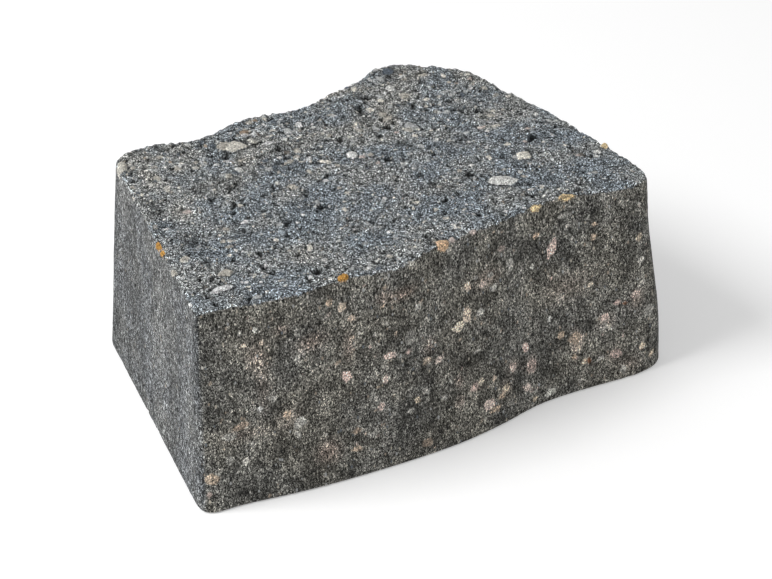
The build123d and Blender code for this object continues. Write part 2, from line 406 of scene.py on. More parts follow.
# Stones flush in the front face: x, height, length, width, turn, tint, how clear of cement
frontStones = [
    (-66, 66, 5, 5.5, 0, "rose", 1.0), (-67, 108, 5, 4, 30, "cream", 0.9),
    (-62, 101, 3.4, 2.6, 0, "cream", 1.0), (-62, 89, 3, 2, 0, "cream", 0.8),
    (-74, 114, 3, 3, 0, "sand", 0.8), (-122, 100, 3, 2, 0, "cream", 0.65),
    (-115, 109, 2.6, 2.6, 0, "chalk", 1.0), (-113, 101, 2.4, 2.4, 0, "cream", 1.0),
    (-123, 108, 2, 2, 0, "ash", 0.8), (-94, 85, 2, 4, 0, "ash", 0.7), (-108, 64, 3, 4, 0, "ash", 0.7),
    (-116, 59, 2, 3, 0, "chalk", 0.7), (-101, 53, 3, 4, 0, "sand", 0.7), (-94, 46, 5, 5, 0, "ash", 0.8),
    (-96, 38, 5, 2.5, -60, "ash", 0.8), (-133, 47, 6, 4, 0, "ash", 0.7), (-126, 52, 9, 3, 15, "tan", 0.7),
    (-124, 28, 3, 4.5, 0, "chalk", 0.8), (-134, 32, 3, 5, 0, "ash", 0.6),
    (-144, 22, 7, 5, 0, "sand", 0.7), (-147, 13, 2, 3, 0, "rose", 0.45), (-121, 39, 3, 3, 0, "ash", 0.4),
    (-62, 19, 5, 3, 0, "sand", 0.7), (-61, 30, 4, 3, 0, "tan", 0.8), (-52, 25, 5, 4, 0, "ash", 0.6),
    (11, 78, 5, 6.5, -15, "cream", 1.0), (4.5, 72, 6, 4.5, 10, "cream", 1.0),
    (19, 76, 4, 4, 60, "ash", 0.8), (-41, 73, 7, 3.5, 0, "rose", 0.7), (-44, 58, 2.5, 4, 0, "rose", 0.9),
    (-9.5, 58, 5, 3.5, 0, "rose", 0.55), (-17, 60.5, 5, 2.5, -20, "cream", 0.8),
    (-19, 58, 2, 2, 0, "umber", 0.5), (-21.5, 95.5, 4, 4, 0, "ash", 0.8), (-29, 80, 6, 7, 0, "ash", 0.4),
    (-47, 42, 3, 4, 0, "rose", 0.6), (-24.5, 38, 3, 3, 0, "honey", 1.0), (-29, 33, 3, 3, 0, "ash", 0.6),
    (-19.5, 42, 4, 3, -20, "ash", 0.7), (-7, 33, 3, 3, 0, "ash", 0.7),
    (11.5, 93.5, 3.5, 4, 0, "cream", 0.9), (18, 98, 2.6, 2.6, 0, "ash", 0.8),
    (22, 93, 4, 3, 0, "rose", 0.5), (27, 95.5, 4, 3, 0, "ash", 0.7), (29.5, 87, 3, 4, 0, "ash", 0.7),
    (42.5, 97, 4, 6, 0, "ash", 0.7), (35.5, 108.5, 5, 3, 0, "rose", 0.3),
    (41, 34, 4, 4.5, 0, "rose", 0.7), (26.5, 31.5, 3.2, 3.2, 0, "cream", 1.0),
    (12.5, 31.5, 5, 3, 20, "rose", 0.7), (17.5, 33, 3.5, 3, 0, "cream", 0.7),
    (23.5, 18, 7, 5, -10, "rose", 0.9), (26.5, 13, 6, 3, 0, "sand", 0.7),
    (35.5, 23, 4, 4, 0, "honey", 0.8), (33, 19, 4, 3, 0, "sand", 0.6), (16.5, 53, 4, 2, 0, "ash", 0.8),
    (-19.5, 9, 6, 4, 0, "tan", 0.6), (71.5, 95, 8, 5, 60, "rose", 1.0), (61, 107, 4, 3, 0, "sand", 0.8),
    (78, 113.5, 4, 2, 0, "ash", 0.7), (81.5, 107, 1.6, 1.4, 0, "chalk", 1.0),
    (84.5, 98.5, 1.6, 2, 0, "ash", 1.0), (97, 97, 2.5, 4, -20, "sand", 0.7),
    (97, 104.5, 3, 2, 0, "sand", 0.8), (94.5, 67, 3.5, 2, 20, "cream", 1.0),
    (69, 52.5, 2.4, 2.4, 0, "chalk", 1.0), (112, 53.5, 3.5, 3, 0, "rose", 0.9),
    (116, 52, 3, 2, -20, "rust", 0.7), (104.5, 45, 3.5, 3.5, 0, "rose", 0.7),
    (103.5, 38.5, 4, 4, 0, "ash", 0.4), (51, 42, 4, 5, 0, "rose", 0.7),
    (75.5, 39.5, 4, 3.5, 0, "sand", 0.8), (86, 36, 4.5, 7, 0, "sand", 0.5),
    (86, 28.5, 3.5, 3, 0, "cream", 1.0), (54.5, 28.5, 6, 7, 0, "rose", 0.3),
    (84, 24.5, 2.5, 3, 0, "sand", 0.9), (91.5, 19.5, 3, 3, 0, "honey", 1.0),
    (94.5, 19.5, 2, 3, 0, "rust", 0.8), (97, 15.5, 3, 3, 0, "umber", 0.4), (101, 19, 3, 3, 0, "ash", 0.7),
    (110.5, 19, 5, 5, 0, "rose", 0.5), (129, 19, 3.5, 4.5, 0, "honey", 1.0),
    (126.5, 75.5, 4.5, 3, 10, "chalk", 1.0), (125.5, 90.5, 4, 4, 0, "honey", 0.6),
    (125, 112, 2, 2, 0, "ash", 0.8), (128, 61, 1.6, 2, 0, "chalk", 0.8), (123, 54, 4, 5, 0, "rose", 0.3),
    (133, 42, 5, 6, 0, "ash", 0.6), (51, 16, 4, 3.5, -20, "rose", 0.9), (53.5, 13, 3, 2, 0, "rose", 0.3),
    (56, 5.5, 3, 3, 0, "honey", 1.0), (68, 5.5, 5, 3.5, 0, "chalk", 0.6), (116.5, 7, 3, 5, 0, "ash", 0.7),
    (88.5, 8, 2, 1.6, 0, "ash", 0.5), (137, 11, 4, 4, 0, "honey", 0.6),
    (58, 89.5, 2.4, 2.4, 0, "chalk", 0.9),
]
# Hollows torn in the front face: x, height, width, rise, depth
frontPits = [
    (-68.5, 96, 2.5, 3.5, 0.8), (-86.5, 104, 3, 3, 0.7), (-138, 95, 2, 2, 0.6), (-83, 90.5, 2, 3, 0.6),
    (-62, 26, 4, 4, 0.5), (-103, 55.5, 2.5, 3, 0.5), (17, 51, 5, 2, 0.9), (9.5, 48, 4, 4, 0.8),
    (5, 49, 3, 2.5, 0.6), (0.5, 43, 2, 3, 0.7), (10.5, 54, 4, 2.5, 0.6), (16, 20.5, 3, 5, 0.6),
    (42, 20, 3, 5, 0.7), (-9, 77, 3, 3, 0.5), (94.5, 43.5, 4, 4, 0.6), (55.5, 40, 4, 3, 0.6),
    (72, 37, 3, 3, 0.6), (111, 18.5, 2, 2, 0.6), (-137.5, 65, 3, 3, 0.5),
]
# Soft clouds of tone on the front: x, height, width, rise, strength, where a minus darkens
frontClouds = [
    (-79, 22, 11, 11, 0.8), (-85.5, 94, 12, 8, 0.6), (-116, 93, 10, 14, 0.35), (-102, 106, 6, 5, 0.5),
    (-64, 84, 5, 14, 0.5), (-32, 108, 14, 6, 0.8), (-44, 109, 6, 7, 0.5), (-15, 69, 9, 10, 0.5),
    (25, 94, 15, 9, 0.6), (3, 40, 6, 8, 0.6), (3, 27, 6, 8, 0.5), (15, 32, 10, 6, 0.5),
    (35, 22, 9, 9, 0.5), (54, 28, 9, 11, 0.4), (86, 34, 7, 11, 0.6), (41, 34, 8, 8, 0.4),
    (104, 42, 8, 8, 0.4), (124, 52, 8, 10, 0.4), (120, 10, 12, 9, 0.3), (110, 19, 8, 8, 0.3),
    (-126, 46, 20, 6, 0.3), (-100, 50, 12, 12, 0.25), (80, 70, 22, 14, 0.25), (-113, 75, 6, 30, 0.25),
    (-122, 8, 18, 5, -0.9), (50, 101, 11, 12, -0.7), (10, 49, 12, 8, -0.6), (68, 33, 10, 10, -0.6),
    (94, 43, 7, 6, -0.6), (118, 82, 6, 22, -0.5), (-5, 77, 10, 14, -0.35), (-38, 88, 12, 16, -0.3),
    (-143, 60, 5, 60, -0.35), (-62, 26, 7, 6, -0.5), (22, 20, 14, 6, -0.4), (-128, 85, 6, 20, -0.3),
    (60, 20, 30, 8, -0.2), (85, 88, 12, 8, -0.3), (5, 60, 60, 90, -0.12),
]
# and on the bed: x, y, width, depth, strength
bedClouds = [
    (-114, 45, 10, 24, 0.5), (-112, 0, 8, 14, 0.4), (-96, 45, 9, 8, 0.4), (-60, 37, 8, 6, 0.4),
    (36, 45, 9, 20, 0.6), (85, 5, 14, 5, 0.4), (92, 20, 7, 7, 0.4), (-100, -27, 6, 8, 0.3),
    (20, 85, 14, 5, 0.4), (80, 82, 9, 5, 0.4), (5, -48, 6, 6, 0.3), (-72, -70, 10, 12, 0.25),
    (100, -8, 8, 5, 0.3), (-85, 20, 22, 16, -0.35), (-120, -30, 10, 12, -0.6), (-125, 15, 8, 14, -0.35),
    (-45, 18, 14, 10, -0.3), (25, 48, 9, 12, -0.6), (78, 30, 12, 12, -0.4), (10, 2, 7, 6, -0.5),
    (-46, -27, 6, 7, -0.4), (-38, -57, 9, 5, -0.35), (27, -48, 5, 7, -0.4), (25, -72, 5, 6, -0.4),
    (66, 92, 9, 9, -0.4), (33, 74, 7, 5, -0.4), (-90, 72, 30, 6, -0.3), (55, 0, 16, 10, -0.3),
]
# Scattered stones: where, how many, half length, slimness, stand, how clear, tints with weights
scatter = [
    ("bed", 560, (0.9, 1.9), (0.45, 0.9), (0.3, 0.6), (0.7, 1), {"chalk": 4, "cream": 3, "ash": 4}),
    (
        "bed", 110, (1.0, 2.2), (0.5, 1), (0.3, 0.7), (0.5, 0.9),
        {"ash": 4, "slate": 3, "sand": 2, "umber": 1},
    ),
    (
        "far", 170, (1.2, 3.0), (0.5, 1), (0.4, 0.9), (0.6, 1),
        {"ash": 5, "sand": 3, "cream": 3, "chalk": 2, "slate": 2},
    ),
    (
        "front", 170, (0.7, 1.7), (0.5, 1), (0.05, 0.06), (0.3, 0.8),
        {"sand": 4, "rose": 3, "ash": 4, "umber": 3},
    ),
    ("left", 60, (0.7, 1.5), (0.5, 1), (0.04, 0.05), (0.2, 0.6), {"ash": 4, "umber": 2, "sand": 1}),
    (
        "back", 330, (0.8, 2.4), (0.5, 1), (0.05, 0.06), (0.35, 0.9),
        {"sand": 4, "rose": 3, "ash": 4, "umber": 2},
    ),
]
# How strongly the listed marks show
marks = {
    "stoneGrow": 1.4,  # stones of the front, whose rims lie under cement
    "stoneStand": 0.06,
    "stoneClear": 1.3,
    "pitEdge": 1.3,
    "frontCloud": 1.4,
    "frontFade": 3,
    "bedCloud": 1.8,
    "bedFade": 2,
}
# The form of every stone, and how it sits in the skin
stoneShape = {
    "sides": (4, 6),
    "turnStray": 0.25,  # of each side, as a share of the step to the next
    "cuts": (0.66, 1.0),  # how far from the middle a side is cut
    "flatPart": 0.85,  # flat sides beside a plain oval
    "ovalPart": 0.15,
    "shade": (0.88, 1.1),
    "palest": 0.85,
    "dome": 1.3,
    "rim": 1.05,
    "rimSteepness": 4,
    "smoothing": 0.8,  # share of the relief that is lost under a stone
    "moatAt": 1.22,  # a groove round each stone of the bed
    "moatReach": 0.32,
    "moatDepth": 0.7,
    # painted shade in that groove
    "moatShade": 0.8,
    "reach": 0.9,  # points are looked for this far out, as a share of the length
    "margin": 2.5,  # and this much further
    "nowhere": 9.0,  # the distance kept where no stone is near
}
stoneEdge = np.full(vertexCount, stoneShape["nowhere"])  # signed distance to the nearest stone's outline
stoneTint = np.zeros((vertexCount, 4))
cloud = np.zeros(vertexCount)
stoneDraw = random.Random(skin["stoneSeed"])


def brokenOutline(u, v):
    # 1 on the outline of a stone with flattened sides, less inside
    sideCount = stoneDraw.randint(*stoneShape["sides"])
    start = stoneDraw.uniform(0, 2 * math.pi)
    strays = [stoneDraw.uniform(-stoneShape["turnStray"], stoneShape["turnStray"]) for _ in range(sideCount)]
    turns = [start + (i + stray) * 2 * math.pi / sideCount for i, stray in enumerate(strays)]
    cuts = [stoneDraw.uniform(*stoneShape["cuts"]) for _ in range(sideCount)]
    flats = np.max([(u * math.cos(a) + v * math.sin(a)) / cut for a, cut in zip(turns, cuts)], axis=0)
    return stoneShape["flatPart"] * np.maximum(flats, 0) + stoneShape["ovalPart"] * np.hypot(u, v)


def setStone(centre, along, across, length, width, stand, colour, clear):
    # one broken stone, bedded in the skin
    facing = np.cross(along, across)
    longest = max(length, width)
    nearby = faceTree.find_range(centre, longest * stoneShape["reach"] + stoneShape["margin"])
    found = np.array([index for _, index, _ in nearby], dtype=np.int64)
    off = place[found] - centre
    outline = brokenOutline(off @ along / (length / 2), off @ across / (width / 2))
    shade = stoneDraw.uniform(*stoneShape["shade"])
    q = np.sqrt(outline ** 2 + (off @ facing / (longest / 2)) ** 2)
    edge = (q - 1) * math.sqrt(length * width) / 2
    nearer = edge < stoneEdge[found]
    chosen = found[nearer]
    stoneEdge[chosen] = edge[nearer]
    stoneTint[chosen, :3] = np.minimum(np.array(colour) * shade, stoneShape["palest"])
    stoneTint[chosen, 3] = clear
    firm = min(1, stand)
    inside = np.clip((stoneShape["rim"] - q) * stoneShape["rimSteepness"], 0, 1) * firm
    dome = stoneShape["dome"] * stand * np.sqrt(np.clip(1 - q * q, 0, 1))
    height[found] = height[found] * (1 - stoneShape["smoothing"] * inside) + dome * inside
    moat = np.clip(1 - abs(q - stoneShape["moatAt"]) / stoneShape["moatReach"], 0, 1) * bedShare[found]
    height[found] -= stoneShape["moatDepth"] * stand * moat
    # painted shade in the groove round the stone, and none on the stone
    paintedPoreShade[found] = np.maximum(paintedPoreShade[found] * (1 - inside), stoneShape["moatShade"] * firm * moat)


def bedAxes(turn):
    a = math.radians(turn)
    return np.array([math.cos(a), math.sin(a), 0]), np.array([-math.sin(a), math.cos(a), 0])


def faceAxes(index, turn):
    # axes in the face: level and upright, turned
    up = np.array([0, 0, 1]) - out[index] * out[index][2]
    up /= np.linalg.norm(up)
    level = np.cross(up, out[index])
    a = math.radians(turn)
    return level * math.cos(a) + up * math.sin(a), up * math.cos(a) - level * math.sin(a)


wallFront = frontShare[:wallCount]
wallLeft = leftShare[:wallCount]
onFront = np.where(wallFront > sides["wellOn"])[0]
onLeft = np.where(wallLeft > sides["wellOn"])[0]
offBoth = (wallFront < sides["wellOff"]) & (wallLeft < sides["wellOff"])
onBack = np.where(offBoth & (bedShare[:wallCount] == 0))[0]
onBed = np.arange(bedStart, baseStart)
farBed = onBed[farShare[onBed] > 0.5]
zones = {"front": onFront, "left": onLeft, "back": onBack, "bed": onBed, "far": farBed}


def frontPoint(x, z):
    gap = (place[onFront, 0] - x) ** 2 + (place[onFront, 2] - z) ** 2
    return onFront[np.argmin(gap)]


for zone, count, halves, slims, stands, clears, weights in scatter:
    tints = bedTints if zone in ("bed", "far") else faceTints
    for _ in range(count):
        index = stoneDraw.choice(zones[zone])
        length = 2 * (halves[0] + stoneDraw.random() ** 2 * (halves[1] - halves[0]))
        turn = stoneDraw.uniform(0, 180)
        along, across = bedAxes(turn) if tints is bedTints else faceAxes(index, turn)
        width = length * stoneDraw.uniform(*slims)
        stand = stoneDraw.uniform(*stands)
        clear = stoneDraw.uniform(*clears)
        tint = stoneDraw.choices(list(weights), list(weights.values()))[0]
        setStone(place[index], along, across, length, width, stand, tints[tint], clear)
for x, y, length, width, turn, stand, tint in bedStones:
    along, across = bedAxes(turn)
    setStone(np.array([x, y, blockHeight]), along, across, length, width, stand, bedTints[tint], 1)
for x, z, length, width, turn, tint, clear in frontStones:
    index = frontPoint(x, z)
    along, across = faceAxes(index, turn)
    grown = (length * marks["stoneGrow"], width * marks["stoneGrow"])
    cleared = min(1, clear * marks["stoneClear"])
    setStone(place[index], along, across, *grown, marks["stoneStand"], faceTints[tint], cleared)
for x, z, width, rise, depth in frontPits:
    gap = np.hypot((place[:, 0] - x) / width, (place[:, 2] - z) / rise) * 2
    dip = np.clip(marks["pitEdge"] - gap, 0, 1) * frontShare
    height -= depth * dip
    # painted shade in each hollow
    paintedPoreShade = np.maximum(paintedPoreShade, dip)
for x, z, width, rise, strength in frontClouds:
    gap = np.hypot((place[:, 0] - x) / width, (place[:, 2] - z) / rise)
    cloud += marks["frontCloud"] * strength * np.exp(-marks["frontFade"] * gap * gap) * frontShare
for x, y, width, depth, strength in bedClouds:
    gap = np.hypot((place[:, 0] - x) / width, (place[:, 1] - y) / depth)
    cloud += marks["bedCloud"] * strength * np.exp(-marks["bedFade"] * gap * gap) * bedShare
scattered = sum(batch[1] for batch in scatter)
print("stones set,", len(bedStones) + len(frontStones), "by hand and", scattered, "scattered")

# The moved points, with the base kept level on the ground
moved = place + out * height[:, None]
moved[baseStart:, 2] = np.abs(relief["base"] * lumps("base")[baseStart:])
moved[:columnCount] = place[:columnCount]
moved[:, 2] = np.maximum(moved[:, 2], 0)

ring = np.arange(columnCount)
nextRing = (ring + 1) % columnCount
quads = []
for row in range(rowCount - 1):
    lower = row * columnCount
    upper = lower + columnCount
    quads.append(np.stack([lower + ring, lower + nextRing, upper + nextRing, upper + ring], axis=1))
quads = np.concatenate(quads)
topRow = wallCount - columnCount
bedTris = np.where(bedFaces < columnCount, bedFaces + topRow, bedFaces - columnCount + bedStart)
baseTris = np.where(baseFaces < columnCount, baseFaces, baseFaces - columnCount + baseStart)[:, ::-1]
faces = quads.tolist() + bedTris.tolist() + baseTris.tolist()
mesh = bpy.data.meshes.new("wallBlockSkin")
mesh.from_pydata((moved * mm).tolist(), [], faces)
mesh.update()
block = bpy.data.objects.new("wallBlockSkin", mesh)
bpy.context.scene.collection.objects.link(block)
mesh.polygons.foreach_set("use_smooth", np.ones(len(faces), dtype=bool))

# Values that the finishes read at every point
tintLayer = mesh.attributes.new("stoneTint", "FLOAT_COLOR", "POINT")
tintLayer.data.foreach_set("color", stoneTint.astype(np.float32).ravel())
pointValues = {
    "stoneEdge": stoneEdge, "paintedPoreShade": paintedPoreShade, "cloud": cloud,
    "arrisGap": arrisGap, "frontShare": frontShare, "farShare": farShare,
}
for name, values in pointValues.items():
    layer = mesh.attributes.new(name, "FLOAT", "POINT")
    layer.data.foreach_set("value", values.astype(np.float32))

# Unrolled map: two strips of faces, then the two beds side by side
unroll = {"side": 600.0, "gap": 5.0, "baseScale": 0.9}
loopVertex = np.zeros(len(mesh.loops), dtype=np.int64)
mesh.loops.foreach_get("vertex_index", loopVertex)
loopFace = np.repeat(np.arange(len(faces)), [len(f) for f in faces])
quadColumn = np.tile(ring, rowCount - 1)
spread = np.zeros((len(loopVertex), 2))
wallLoop = loopFace < len(quads)
column = loopVertex[wallLoop] % columnCount
ownColumn = quadColumn[loopFace[wallLoop]]
runStep = wallRun[1]
half = columnCount // 2
second = ownColumn >= half
run = (ownColumn + np.where(column == ownColumn, 0, 1)) * runStep
spread[wallLoop, 0] = run - np.where(second, half * runStep, 0)
spread[wallLoop, 1] = place[loopVertex[wallLoop], 2] + np.where(second, blockHeight + unroll["gap"], 0)
low = place.min(axis=0)[:2]
bedsFrom = 2 * (blockHeight + unroll["gap"])
bedLoop = (loopFace >= len(quads)) & (loopFace < len(quads) + len(bedTris))
baseLoop = loopFace >= len(quads) + len(bedTris)
spread[bedLoop] = place[loopVertex[bedLoop], :2] - low + np.array([0, bedsFrom])
baseFlat = (place[loopVertex[baseLoop], :2] - low) * unroll["baseScale"]
spread[baseLoop, 0] = unroll["side"] - unroll["gap"] - baseFlat[:, 0]
spread[baseLoop, 1] = baseFlat[:, 1] + bedsFrom
uvLayer = mesh.uv_layers.new(name="OFBake")
uvLayer.data.foreach_set("uv", (spread / unroll["side"]).astype(np.float32).ravel())
print("mesh built,", len(quads) * 2 + len(bedTris) + len(baseTris), "triangles")


# Shader helpers
def addNode(tree, kind, props=None, feeds=None):
    made = tree.nodes.new(kind)
    for key, value in (props or {}).items():
        setattr(made, key, value)
    for key, value in (feeds or {}).items():
        if isinstance(value, bpy.types.NodeSocket):
            tree.links.new(value, made.inputs[key])
        else:
            made.inputs[key].default_value = value
    return made


def calc(tree, operation, first, second=0.0, third=0.0):
    feeds = {0: first, 1: second, 2: third}
    return addNode(tree, "ShaderNodeMath", {"operation": operation}, feeds).outputs[0]


def blendColour(tree, amount, first, second, way="MIX"):
    props = {"data_type": "RGBA", "blend_type": way}
    return addNode(tree, "ShaderNodeMix", props, {0: amount, 6: first, 7: second}).outputs[2]


def remap(tree, value, fromLow, fromHigh, toLow=0.0, toHigh=1.0):
    feeds = {0: value, 1: fromLow, 2: fromHigh, 3: toLow, 4: toHigh}
    return addNode(tree, "ShaderNodeMapRange", {"interpolation_type": "SMOOTHSTEP"}, feeds).outputs[0]


def softNoise(tree, coords, scale, detail):
    feeds = {"Vector": coords, "Scale": scale, "Detail": detail}
    return addNode(tree, "ShaderNodeTexNoise", {}, feeds).outputs[0]


def stored(tree, name):
    return addNode(tree, "ShaderNodeAttribute", {"attribute_name": name})


def newGroup(name, inputs, outputs):
    group = bpy.data.node_groups.new(name, "ShaderNodeTree")
    for label, kind in inputs:
        group.interface.new_socket(name=label, in_out="INPUT", socket_type=kind)
    for label, kind in outputs:
        group.interface.new_socket(name=label, in_out="OUTPUT", socket_type=kind)
    return group, group.nodes.new("NodeGroupInput").outputs, group.nodes.new("NodeGroupOutput").inputs


def useGroup(tree, group, feeds):
    return addNode(tree, "ShaderNodeGroup", {"node_tree": group}, feeds).outputs


def grey(level):
    return (level, level, level, 1)


def rgb(red, green, blue):
    return (red, green, blue, 1)


floatKind = "NodeSocketFloat"
vectorKind = "NodeSocketVector"
colourKind = "NodeSocketColor"
noiseRange = (0.3, 0.7)  # where soft noise mostly lies


def grainCells(group, given):
    # three random values for every grain, and the distance from its centre
    scale = calc(group, "DIVIDE", 1 / mm, given["Size"])
    grain = addNode(group, "ShaderNodeTexVoronoi", {}, {"Vector": given["Place"], "Scale": scale})
    parts = addNode(group, "ShaderNodeSeparateColor", {}, {0: grain.outputs["Color"]})
    return parts.outputs, grain.outputs["Distance"]


grainLook = {
    "middle": 1.5,  # mean sum of the three random values
    "lean": -0.28,  # more dark grains than pale ones
    "meanGain": 0.125,  # with the next, keeps the mean near 1 at every spread
    "meanShift": -0.14,
}


def sandGrainGroup():
    # a tone for every sand grain, spread round a mean of 1, and a height
    inputs = [("Place", vectorKind), ("Size", floatKind), ("Spread", floatKind)]
    group, given, result = newGroup("sandGrain", inputs, [("Tone", floatKind), ("Height", floatKind)])
    parts, distance = grainCells(group, given)
    total = calc(group, "ADD", calc(group, "ADD", parts[0], parts[1]), parts[2])
    level = calc(group, "SUBTRACT", total, grainLook["middle"])
    lean = calc(group, "MULTIPLY_ADD", level, grainLook["lean"], 1.0)
    swing = calc(group, "MULTIPLY", level, lean)
    mean = calc(group, "MULTIPLY_ADD", given["Spread"], grainLook["meanGain"], grainLook["meanShift"])
    power = calc(group, "MULTIPLY", calc(group, "SUBTRACT", swing, mean), given["Spread"])
    group.links.new(calc(group, "EXPONENT", power), result["Tone"])
    group.links.new(calc(group, "SUBTRACT", level, distance), result["Height"])
    return group


gritAndPoreShadeLook = {
    "smallest": 0.16,  # reach of the smallest grain, in grain sizes
    "larger": 0.28,  # what the largest has beyond it
    "rim": 0.05,
    "colours": [  # from each random value on
        (0.0, rgb(0.52, 0.48, 0.40)), (0.08, rgb(0.36, 0.30, 0.24)), (0.16, rgb(0.44, 0.45, 0.45)),
        # near-black from 0.32 on: painted shade of small pores
        (0.24, rgb(0.64, 0.62, 0.57)), (0.32, rgb(0.018, 0.018, 0.018)), (0.92, rgb(0.14, 0.16, 0.18)),
    ],
}


def gritAndPoreShadeGroup():
    # single coarse grains of other colours, and near-black dots that are painted shade of small pores,
    # thinly spread
    inputs = [("Place", vectorKind), ("Size", floatKind), ("Share", floatKind)]
    group, given, result = newGroup("gritAndPoreShade", inputs, [("Mask", floatKind), ("Color", colourKind)])
    parts, distance = grainCells(group, given)
    chosen = calc(group, "LESS_THAN", parts[0], given["Share"])
    limit = calc(group, "MULTIPLY_ADD", parts[2], gritAndPoreShadeLook["larger"], gritAndPoreShadeLook["smallest"])
    shape = remap(group, calc(group, "SUBTRACT", distance, limit), gritAndPoreShadeLook["rim"], -gritAndPoreShadeLook["rim"])
    group.links.new(calc(group, "MULTIPLY", chosen, shape), result["Mask"])
    ramp = addNode(group, "ShaderNodeValToRGB", {}, {0: parts[1]})
    ramp.color_ramp.interpolation = "CONSTANT"
    ramp.color_ramp.elements.remove(ramp.color_ramp.elements[1])
    ramp.color_ramp.elements[0].color = gritAndPoreShadeLook["colours"][0][1]
    for position, colour in gritAndPoreShadeLook["colours"][1:]:
        ramp.color_ramp.elements.new(position).color = colour
    group.links.new(ramp.outputs[0], result["Color"])
    return group


stoneLook = {
    "rimScale": 800.0,
    "rimDetail": 3.0,
    "mottleScale": 500.0,
    "mottleDetail": 4.0,
    "mottle": (0.78, 1.18),  # darkest and palest tone
    "grain": 0.3,  # how strongly the sand grains show on a stone
}


def stoneGroup():
    # the stones set in the skin, with a rough rim and mottled inside
    inputs = [("Place", vectorKind)]
    inputs += [(label, floatKind) for label in ("Rough Rim", "Soft Rim", "Grain")]
    group, given, result = newGroup("stoneInlay", inputs, [("Mask", floatKind), ("Color", colourKind)])
    edge = stored(group, "stoneEdge").outputs["Fac"]
    tint = stored(group, "stoneTint").outputs
    ragged = softNoise(group, given["Place"], stoneLook["rimScale"], stoneLook["rimDetail"])
    ragged = calc(group, "SUBTRACT", ragged, 0.5)
    rim = calc(group, "MULTIPLY_ADD", ragged, given["Rough Rim"], edge)
    mask = remap(group, calc(group, "DIVIDE", rim, given["Soft Rim"]), 1.0, -1.0)
    group.links.new(calc(group, "MULTIPLY", mask, tint["Alpha"]), result["Mask"])
    mottle = softNoise(group, given["Place"], stoneLook["mottleScale"], stoneLook["mottleDetail"])
    shade = remap(group, mottle, *noiseRange, *stoneLook["mottle"])
    mottled = calc(group, "MULTIPLY", shade, calc(group, "POWER", given["Grain"], stoneLook["grain"]))
    group.links.new(blendColour(group, 1.0, tint["Color"], mottled, "MULTIPLY"), result["Color"])
    return group


driftLook = {"detail": 3.0, "range": (0.36, 0.64)}  # noise values of the coolest and the warmest grey


def castToneGroup():
    # slow changes of tone through the cast, between a cool and a warm grey
    inputs = [("Place", vectorKind), ("Cool", colourKind), ("Warm", colourKind), ("Size", floatKind)]
    group, given, result = newGroup("castTone", inputs, [("Color", colourKind)])
    scale = calc(group, "DIVIDE", 1 / mm, given["Size"])
    drift = softNoise(group, given["Place"], scale, driftLook["detail"])
    drift = remap(group, drift, *driftLook["range"])
    group.links.new(blendColour(group, drift, given["Cool"], given["Warm"]), result["Color"])
    return group


edgeWearHighlightLook = {
    "reach": (1.3, 0.3),  # distances from the arris where the pale edge begins and is full
    "scale": 160.0,
    "detail": 3.0,
    "broken": (0.45, 0.62),  # noise values where the pale edge breaks off and is full
    # how much paler the edge is: wear and painted highlight
    "paler": 0.9,
}


def arrisWearHighlightGroup():
    # paler broken edge along the top arris: wear, and a painted highlight on the edge
    group, given, result = newGroup("arrisWearHighlight", [("Place", vectorKind)], [("Tone", floatKind)])
    close = remap(group, stored(group, "arrisGap").outputs["Fac"], *edgeWearHighlightLook["reach"])
    broken = softNoise(group, given["Place"], edgeWearHighlightLook["scale"], edgeWearHighlightLook["detail"])
    wornAndHighlit = calc(group, "MULTIPLY", close, remap(group, broken, *edgeWearHighlightLook["broken"]))
    group.links.new(calc(group, "MULTIPLY_ADD", wornAndHighlit, edgeWearHighlightLook["paler"], 1.0), result["Tone"])
    return group


def toneCloudGroup():
    # pale and dark clouds in the cement: a colour with the pale ones, and a tone for the dark ones
    inputs = [("Color", colourKind), ("Tint", colourKind), ("Depth", floatKind)]
    group, given, result = newGroup("toneCloud", inputs, [("Color", colourKind), ("Tone", floatKind)])
    cloudAt = stored(group, "cloud").outputs["Fac"]
    pale = calc(group, "MAXIMUM", cloudAt, 0.0)
    group.links.new(blendColour(group, pale, given["Color"], given["Tint"]), result["Color"])
    dim = calc(group, "MINIMUM", cloudAt, 0.0)
    group.links.new(calc(group, "MULTIPLY_ADD", dim, given["Depth"], 1.0), result["Tone"])
    return group


def poreShadeGroup():
    # painted shade inside pores, pits and the grooves round stones, where no grit or dots lie
    outputs = [("Tone", floatKind), ("Clear", floatKind)]
    group, given, result = newGroup("poreShade", [("Shade", floatKind)], outputs)
    paintedShadeAt = stored(group, "paintedPoreShade").outputs["Fac"]
    shaded = calc(group, "MULTIPLY", paintedShadeAt, given["Shade"])
    group.links.new(calc(group, "SUBTRACT", 1.0, shaded), result["Tone"])
    group.links.new(calc(group, "SUBTRACT", 1.0, paintedShadeAt), result["Clear"])
    return group


sandGrain = sandGrainGroup()
gritAndPoreShade = gritAndPoreShadeGroup()
stoneInlay = stoneGroup()
castTone = castToneGroup()
arrisWearHighlight = arrisWearHighlightGroup()
toneCloud = toneCloudGroup()
poreShade = poreShadeGroup()


# Each of these places a group in a material, with the values of the material's own look
def castColour(tree, coords, look):
    feeds = {"Place": coords, "Cool": look["cool"], "Warm": look["warm"], "Size": look["patch"]}
    return useGroup(tree, castTone, feeds)["Color"]


def cloudsOver(tree, look, colour):
    feeds = {"Color": colour, "Tint": look["cloudTint"], "Depth": look["cloudDepth"]}
    return useGroup(tree, toneCloud, feeds)


def grainsOf(tree, coords, size, spread):
    return useGroup(tree, sandGrain, {"Place": coords, "Size": size, "Spread": spread})


def gritAndPoreShadeOf(tree, coords, size, amount):
    return useGroup(tree, gritAndPoreShade, {"Place": coords, "Size": size, "Share": amount})


